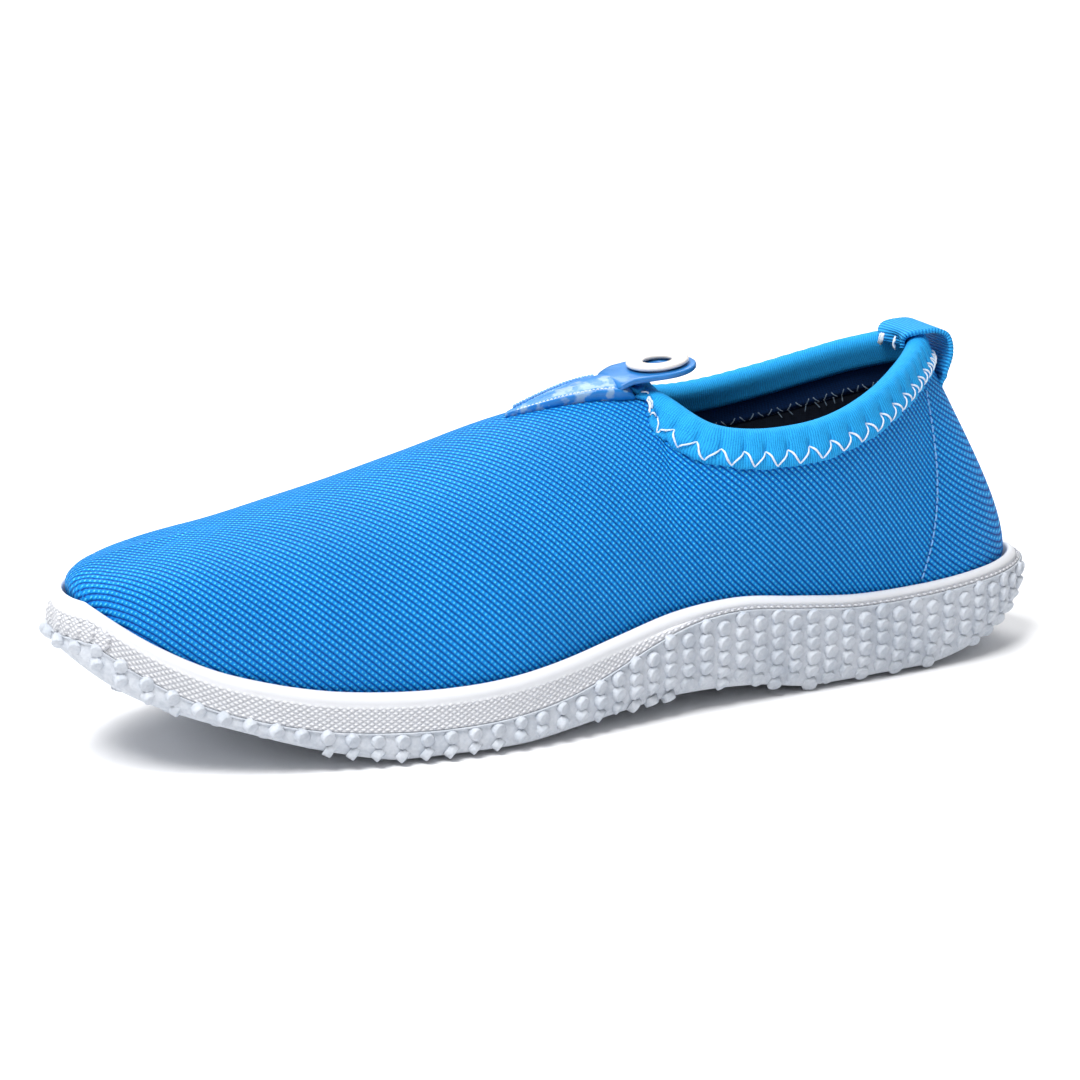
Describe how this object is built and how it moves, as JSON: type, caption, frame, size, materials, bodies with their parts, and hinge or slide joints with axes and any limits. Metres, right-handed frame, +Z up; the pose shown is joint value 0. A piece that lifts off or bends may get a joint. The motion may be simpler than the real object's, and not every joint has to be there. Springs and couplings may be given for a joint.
{
  "type": "slip-on water shoe",
  "caption": "Low-cut slip-on water shoe with a woven mesh upper, knit collar binding, knobbly wrapped rubber sole, pull tab with a ring and a heel loop.",
  "frame": {"origin": "on the ground under the middle of the whole shoe's box", "axes": "+X towards the heel, toe at -X; +Y towards the outer side of a right foot; +Z up"},
  "size_m": [0.247, 0.085, 0.0804],
  "materials": {
    "sole_rubber": "matte moulded rubber, cool pale grey",
    "rim_rubber": "matte moulded rubber, white, fine diamond texture",
    "board": "needle-punched board",
    "foam": "soft closed-cell foam",
    "lining_cloth": "dark brushed knit",
    "mesh_cloth": "woven mesh, bright blue",
    "knit": "fine ribbed elastic knit",
    "thread": "twisted polyester thread",
    "webbing": "ribbed grosgrain webbing",
    "badge_plastic": "soft moulded plastic, slightly translucent blue",
    "ring_plastic": "glossy white moulded plastic"
  },
  "bodies": {
    "shoe": {"outsole": "sole_rubber", "sole_cup": "rim_rubber", "insole_board": "board", "footbed_foam": "foam", "footbed_sock": "lining_cloth", "vamp": "mesh_cloth", "heel_panel": "mesh_cloth", "lining": "lining_cloth", "collar_binding": "knit", "collar_zigzag": "thread", "throat_tack_medial": "thread", "throat_tack_lateral": "thread", "heel_seam_medial": "thread", "heel_seam_lateral": "thread", "badge": "badge_plastic", "badge_stitch_medial": "thread", "badge_stitch_lateral": "thread", "loop_inner_end": "webbing", "loop_outer_end": "webbing", "loop_tack": "thread"},
    "tab": {"pull_tab": "badge_plastic", "tab_ring": "ring_plastic"},
    "loop": {"heel_loop": "webbing"}
  },
  "joints": [
    {"name": "tab_lift", "type": "hinge", "parent": "shoe", "child": "tab", "pos_m": [0.0156, 0.0023, 0.073], "axis": [0, -1, 0], "range_deg": [0, 75], "stiffness_Nm_per_rad": 0.006},
    {"name": "loop_rock", "type": "hinge", "parent": "shoe", "child": "loop", "pos_m": [0.0945, 0.005, 0.0735], "axis": [0, 1, 0], "range_deg": [-7, 7], "stiffness_Nm_per_rad": 0.01}
  ]
}
